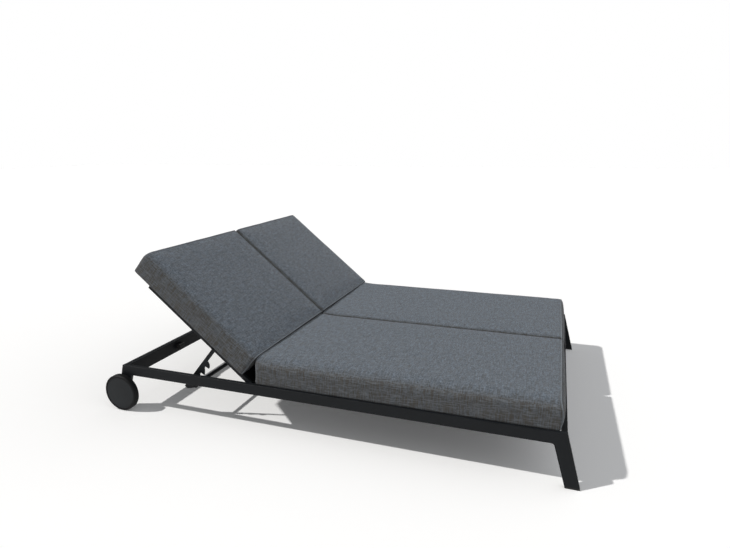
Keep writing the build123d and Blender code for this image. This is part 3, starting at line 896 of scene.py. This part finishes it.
    def welt(self, cover: Piece, station: float, name: str) -> Piece:
        """Model the sewn welt round one end of the cover.

        Args:
            cover: The filled cover.
            station: Where the welt lies along the cushion.
            name: The welt's name.

        Returns:
            The welt as a mesh.
        """
        tree = BVHTree.FromPolygons([v.co.copy() for v in cover.data.vertices],
                                    [tuple(p.vertices) for p in cover.data.polygons])
        path = self.seam_path(tree, station)
        curve = bpy.data.curves.new(name, "CURVE")
        curve.dimensions = "3D"
        curve.bevel_depth = WELT_RADIUS
        curve.bevel_resolution = 2
        line = curve.splines.new("POLY")
        line.points.add(len(path) - 1)
        for point, place in zip(line.points, path):
            point.co = (*place, 1.0)
        line.use_cyclic_u = True
        rope = bpy.data.objects.new(name, curve)
        bpy.context.scene.collection.objects.link(rope)
        make_active(rope)
        bpy.ops.object.convert(target="MESH")
        made = bpy.context.object
        made.data.shade_smooth()
        return made

    def build(self) -> list[Piece]:
        """Model the whole cushion.

        Returns:
            The cover and its two welts.
        """
        cover = self.blank()
        self.swell_out(cover)
        self.fit(cover)
        cover.data.shade_smooth()
        stations = (self.start_round * WELT_SHARE, self.length - self.last_round * WELT_SHARE)
        welts = [self.welt(cover, station, f"{self.name}_welt_{end}") for end, station in enumerate(stations)]
        for piece in (cover, *welts):
            self.dome(piece)
            self.map_cover(piece)
        for welt in welts:
            # Painted highlight: mark every point of a welt to be painted paler.
            note_share(welt, "welt_highlight_share", np.ones(len(welt.data.vertices)))
        return [cover, *welts]


@dataclass
class CushionSet:
    """The four cushions: two of one shape for the seats and two of another for the backs.

    Attributes:
        finishes: The lounger's materials.
        clearance: Gap between a seat's far end and the back's panel.
        rise: Height of a back cushion's underside over the back's middle plane.
    """

    finishes: Finishes
    clearance: float = 0.0006
    rise: float = 0.0099

    def measure_back(self) -> Triple:
        """Measure the soft node of a back cushion in the back's own directions, from the hinge.

        Returns:
            Where it starts and ends along the back, and its top.
        """
        points = [v.co - HINGE for v in frame["nodes"]["back_cushion_left"].data.vertices]
        runs = [p.dot(BACK_ALONG) for p in points]
        return min(runs), max(runs), max(p.dot(BACK_UP) for p in points)

    def seats(self) -> None:
        """Build the two seat cushions."""
        low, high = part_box("seat_cushion_left")
        first, _, top = self.measure_back()
        corner = HINGE + BACK_ALONG * first + BACK_UP * top
        lean = (corner.z - low.z, corner.y - low.y - self.clearance, math.tan(BACK_ANGLE))
        shape = CushionShape("seat_cushion_cover", high.x - low.x, high.y - low.y, high.z - low.z,
                             last_round=0.004, start_dome=0.016, lean=lean, loft=0.0078, rear_loft=0.007)
        self.pair(shape, CushionKind.SEAT, Matrix.Translation((0.0, low.y, low.z)))

    def backs(self) -> None:
        """Build the two back cushions."""
        low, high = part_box("back_cushion_left")
        first, last, top = self.measure_back()
        shape = CushionShape("back_cushion_cover", high.x - low.x, last - first, top - self.rise,
                             shoulder=0.024, roll=0.040, start_round=0.004, last_dome=0.006)
        start = HINGE + BACK_ALONG * first + BACK_UP * self.rise
        self.pair(shape, CushionKind.BACK, Matrix.Translation(start) @ Matrix.Rotation(BACK_ANGLE, 4, "X"))

    def pair(self, shape: CushionShape, kind: CushionKind, place: Matrix) -> None:
        """Build a cushion once and put a copy of it on each side.

        Args:
            shape: The left cushion.
            kind: Which cushion it is.
            place: Where its own space goes, but for the side.
        """
        low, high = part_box(kind.value + "_cushion_left")
        pieces = shape.build()
        for side in Side:
            middle = side.value * abs(low.x + high.x) / 2
            self.put(pieces, side, kind, Matrix.Translation((middle, 0.0, 0.0)) @ place)
        for piece in pieces:
            bpy.data.objects.remove(piece)

    def put(self, pieces: list[Piece], side: Side, kind: CushionKind, place: Matrix) -> None:
        """Copy a cushion to its place and let it ride there.

        Args:
            pieces: The cover and its welts.
            side: Which half of the lounger.
            kind: Which cushion it is.
            place: Where the cushion's own space goes.
        """
        for piece, part in zip(pieces, ("cover", "welt_low", "welt_high")):
            copy = piece.copy()
            copy.data = piece.data.copy()
            bpy.context.scene.collection.objects.link(copy)
            if side is Side.RIGHT:
                copy.data.transform(Matrix.Scale(-1.0, 4, (1.0, 0.0, 0.0)))
                copy.data.flip_normals()
            copy.data.transform(place)
            copy.name = f"{kind.value}_{part}_{side.word}"
            self.finishes.dress(copy, "cushion_fabric")
            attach(copy, kind.body(side))
            if part == "cover":
                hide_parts(f"{kind.value}_cushion_{side.word}")
            log.info("%s: %d faces", copy.name, len(copy.data.polygons))

    def build(self) -> None:
        """Build all four cushions."""
        self.seats()
        self.backs()


@dataclass
class HingeCloth:
    """The two dark strips of cloth that close the gap between the seat deck and each back. Their near-black
    colour paints the deep shade in that gap.

    Attributes:
        finishes: The lounger's materials.
        outer, inner: Where a strip starts and ends across, inside the side bars.
        rail_side: Where its front part starts across, beside the side rail.
        front, level: Where it starts along, behind the last seat slat, and how high it lies there.
        reach, under: How far up the back it goes, and how far above the back's middle plane.
        hem: How far its outer edge hangs.
        dip, sink: How far it falls on its way to the hinge, and all over.
        ripple, ripple_pace: Height of the ripples across it, and how fast they follow one another.
        steps: Number of pieces in each half of its path.
        bend: How far from the hinge, on each side, the build works out two points.
    """

    finishes: Finishes
    outer: float = 0.7130
    rail_side: float = 0.7300
    inner: float = 0.0382
    front: float = 0.2552
    level: float = 0.2162
    reach: float = 0.0594
    under: float = 0.0086
    hem: float = 0.010
    dip: float = 0.0006
    sink: float = 0.0008
    ripple: float = 0.0006
    ripple_pace: float = 29.0
    steps: int = 6
    bend: float = 0.010

    def path(self) -> list[Vector]:
        """Follow the strip from the deck, round the hinge and up the back.

        Returns:
            The points of the path.
        """
        start = Vector((0.0, self.front, self.level))
        turn = HINGE + BACK_UP * self.under
        turn.z = self.level - self.dip
        last = HINGE + BACK_ALONG * self.reach + BACK_UP * self.under
        points = [start.lerp(turn, step / self.steps) for step in range(self.steps)]
        points += [turn.lerp(last, step / self.steps) for step in range(self.steps + 1)]
        eased = [(before + here * 2 + after) / 4 for before, here, after in zip(points, points[1:], points[2:])]
        return [points[0], *eased, points[-1]]

    def strip(self, side: Side) -> Piece:
        """Model one strip from a subdivided plane laid along the path.

        Args:
            side: Which half of the lounger.

        Returns:
            The strip.
        """
        bpy.ops.mesh.primitive_plane_add(size=1.0)
        cloth = bpy.context.object
        cloth.name = "hinge_cloth_" + side.word
        path = self.path()
        bpy.ops.object.mode_set(mode="EDIT")
        bpy.ops.mesh.subdivide(number_cuts=len(path) - 2)
        bpy.ops.object.mode_set(mode="OBJECT")
        share = positions(cloth)[:, :2] + 0.5
        row = np.rint(share[:, 1] * (len(path) - 1)).astype(int)
        edge = np.where(row < self.steps - 1, self.rail_side, self.outer)
        across = edge + (self.inner - edge) * share[:, 0]
        sag = self.ripple * np.sin(across * self.ripple_pace) * np.sin(np.pi * share[:, 1])
        up = np.where(row[:, None] < self.steps, np.array([[0.0, 0.0, 1.0]]), np.array([tuple(BACK_UP)]))
        hanging = np.where(share[:, 0] < 0.5 / len(path), self.hem, 0.0)
        place = np.array([tuple(point) for point in path])[row] - up * hanging[:, None]
        move_to(cloth, np.stack([side.value * across, place[:, 1], place[:, 2] - self.sink + sag], 1))
        if side is Side.LEFT:
            cloth.data.flip_normals()
        cloth.data.shade_smooth()
        return cloth

    def build(self) -> None:
        """Build both strips."""
        path = self.path()
        length = sum((after - before).length for before, after in zip(path, path[1:]))
        for side in Side:
            cloth = self.strip(side)
            self.finishes.dress(cloth, "hinge_shade_lining")
            start = HINGE + Vector((side.value * self.outer, -self.bend, 0.0))
            end = HINGE + BACK_ALONG * self.bend
            end.x = start.x
            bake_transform(cloth)
        log.info("hinge cloth %.1f mm long", length * 1000)


# Frame


@dataclass
class DressedFrame:
    """The rigid nodes, each with the finish of its slot.

    Attributes:
        finishes: The lounger's materials.
    """

    finishes: Finishes

    def build(self) -> None:
        """Dress every node of the frame."""
        slots = {row["node"]: row["material_slot"] for row in frame["record"]["subparts"]}
        for name, node in frame["nodes"].items():
            self.finishes.dress(node, slots[name])
        log.info("dressed %d nodes", len(slots))


# Stage


@dataclass
class Studio:
    """Floor, light and camera.

    Attributes:
        floor_size: Width of the floor.
        sun_direction, sun_strength, sun_angle, sun_colour: The main light. The angle is how wide it looks.
        sky, sky_colour: The light from all round.
        soft_box, soft_side, soft_edge: What the sky gains towards its bright patch, where that is, and how
            fast it fades.
        camera_place, camera_forward, camera_roll: Where the camera stands and looks, and its turn.
        lens, sensor, far: Focal length and sensor width in millimetres, and how far it sees in metres.
    """

    floor_size: float = 60.0
    sun_direction: Triple = (0.290, -0.595, -0.735)
    sun_strength: float = 2.45
    sun_angle: float = 1.5
    sun_colour: Triple = (1.0, 0.985, 0.96)
    sky: float = 0.17
    sky_colour: Triple = (0.985, 1.0, 1.02)
    soft_box: float = 0.88
    soft_side: Triple = (0.12, -0.93, 0.35)
    soft_edge: float = 2.0
    camera_place: Triple = (-2.64845, -0.90501, 1.22080)
    camera_forward: Triple = (0.91892, 0.32113, -0.22905)
    camera_roll: float = -0.0044
    lens: float = 26.8926
    sensor: float = 36.0
    far: float = 100.0

    def floor(self) -> None:
        """Lay the floor."""
        bpy.ops.mesh.primitive_plane_add(size=self.floor_size, location=(0.0, 0.0, 0.0))
        floor = bpy.context.object
        floor.name = "floor"
        floor.data.materials.append(PaleFloor("pale_floor").material())

    def main_light(self) -> None:
        """Set the main light."""
        bpy.ops.object.light_add(type="SUN", location=(-3.0, 4.0, 5.0))
        sun = bpy.context.object
        sun.name = "main_light"
        sun.data.energy = self.sun_strength
        sun.data.angle = math.radians(self.sun_angle)
        sun.data.color = self.sun_colour
        sun.rotation_euler = Vector(self.sun_direction).to_track_quat("-Z", "Y").to_euler()

    def surround(self) -> None:
        """Light the lounger from all round, more from above the foot end, and show white to the camera."""
        world = bpy.data.worlds.new("studio")
        bpy.context.scene.world = world
        world.use_nodes = True
        world.node_tree.nodes.clear()
        wiring = Wiring(world.node_tree)
        toward = wiring.add("ShaderNodeVectorMath", operation="DOT_PRODUCT")
        wiring.link(wiring.add("ShaderNodeTexCoord").outputs["Generated"], toward.inputs[0])
        toward.inputs[1].default_value = Vector(self.soft_side).normalized()
        ahead = wiring.math("MAXIMUM", toward.outputs["Value"], 0.0)
        patch = wiring.math("POWER", ahead, self.soft_edge)
        strength = wiring.math("MULTIPLY_ADD", patch, self.soft_box, self.sky)
        mixed = wiring.add("ShaderNodeMixShader")
        wiring.link(wiring.add("ShaderNodeLightPath").outputs["Is Camera Ray"], mixed.inputs[0])
        for slot, colour, value in ((1, self.sky_colour, strength), (2, (1.0, 1.0, 1.0), 1.0)):
            glow = wiring.made("ShaderNodeBackground", "Background", {}, Color=(*colour, 1.0), Strength=value)
            wiring.link(glow, mixed.inputs[slot])
        wiring.feed(wiring.add("ShaderNodeOutputWorld"), Surface=mixed.outputs[0])

    def camera(self) -> None:
        """Place the camera at the photograph's angle."""
        bpy.ops.object.camera_add(location=self.camera_place)
        camera = bpy.context.object
        camera.name = "camera"
        forward = Vector(self.camera_forward).normalized()
        right = forward.cross(Vector((0.0, 0.0, 1.0))).normalized()
        straight = Matrix((right, right.cross(forward), -forward)).transposed()
        camera.rotation_euler = (straight @ Matrix.Rotation(self.camera_roll, 3, "Z")).to_euler()
        camera.data.sensor_width = self.sensor
        camera.data.lens = self.lens
        camera.data.clip_end = self.far
        bpy.context.scene.camera = camera

    def build(self) -> None:
        """Set the whole stage."""
        self.floor()
        self.main_light()
        self.surround()
        self.camera()
        bpy.context.scene.view_settings.view_transform = "Standard"
        log.info("stage set")


def main() -> None:
    """Build the stage, the frame's finishes and the cushions, in that order."""
    logging.basicConfig(level=logging.INFO, format="%(name)s: %(message)s")
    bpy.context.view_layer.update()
    Studio().build()
    finishes = Finishes()
    DressedFrame(finishes).build()
    CushionSet(finishes).build()
    HingeCloth(finishes).build()
    nothing_selected()


if __name__ == "__main__":
    main()
